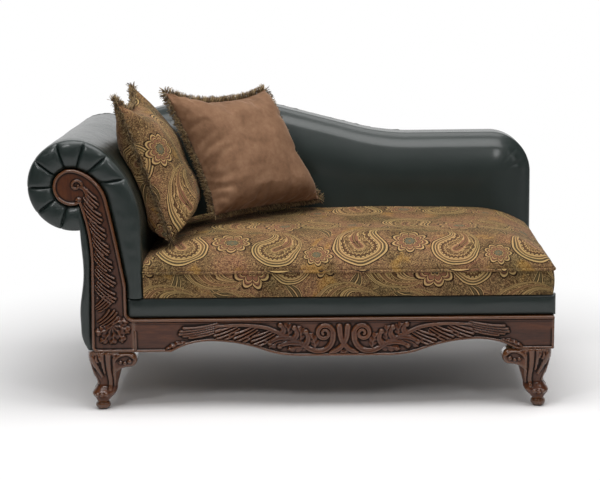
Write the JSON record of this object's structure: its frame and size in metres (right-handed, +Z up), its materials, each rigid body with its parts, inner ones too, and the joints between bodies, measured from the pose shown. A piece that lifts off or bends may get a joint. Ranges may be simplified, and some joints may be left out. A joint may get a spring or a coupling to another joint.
{
  "type": "chaise longue",
  "caption": "Chaise longue with a scroll-rolled leather arm, low shaped back, patterned seat, carved wooden front and legs, and loose fringed pillows.",
  "frame": {"origin": "on the floor, under the middle of the footprint", "axes": "+X from the rolled arm to the open foot end, +Y from the carved front to the back, +Z up"},
  "size_m": [1.744, 0.88, 1.0379],
  "materials": {
    "leather": "glossy green-black leather with fine grain",
    "carved_wood": "polished red-brown hardwood with dark glaze in the carving",
    "frame_wood": "plain planed hardwood",
    "foam": "upholstery foam and wadding",
    "deck_cloth": "woven hessian over felt",
    "dust_cloth": "thin black dust cloth",
    "paisley_cloth": "woven paisley in gold, brown, rose, green and teal",
    "brown_suede": "soft napped brown cloth",
    "fringe_yarn": "brush fringe of gold and brown yarn",
    "steel": "plain steel",
    "glide_plastic": "dark nylon"
  },
  "bodies": {
    "chaise": {"apron": "carved_wood", "apron_carving": "carved_wood", "arm_foam": "foam", "arm_front_board": "frame_wood", "arm_leather": "leather", "arm_pleated_border": "leather", "arm_rear_board": "frame_wood", "arm_rear_cover": "leather", "arm_scroll_panel": "carved_wood", "arm_seat_rail": "frame_wood", "arm_slats": "frame_wood", "back_pad": "leather", "back_posts": "frame_wood", "back_rail": "frame_wood", "back_top_rail": "frame_wood", "center_brace": "frame_wood", "corner_blocks": "frame_wood", "dust_cover": "dust_cloth", "end_panel": "leather", "frame_dowels": "frame_wood", "front_band": "leather", "front_rail": "frame_wood", "left_end_rail": "frame_wood", "leg_bolts": "steel", "leg_front_left": "carved_wood", "leg_front_right": "carved_wood", "leg_glides": "glide_plastic", "leg_plates": "steel", "leg_rear_left": "carved_wood", "leg_rear_right": "carved_wood", "outside_back": "leather", "right_end_rail": "frame_wood", "seat_cushion": "paisley_cloth", "seat_deck": "deck_cloth", "seat_springs": "steel", "seat_welt": "paisley_cloth", "spring_clips": "steel"},
    "paisley_pillow": {"pillow_paisley": "paisley_cloth", "pillow_paisley_fringe": "fringe_yarn"},
    "brown_pillow": {"pillow_brown": "brown_suede", "pillow_brown_fringe": "fringe_yarn"}
  },
  "joints": [
    {"name": "paisley_pillow_lift", "type": "slide", "parent": "chaise", "child": "paisley_pillow", "axis": [-0.2, -0.68, 0.7054], "range_m": [0, 0.6]},
    {"name": "brown_pillow_lift", "type": "slide", "parent": "chaise", "child": "brown_pillow", "axis": [0, -0.6, 0.8], "range_m": [0, 0.6]}
  ]
}
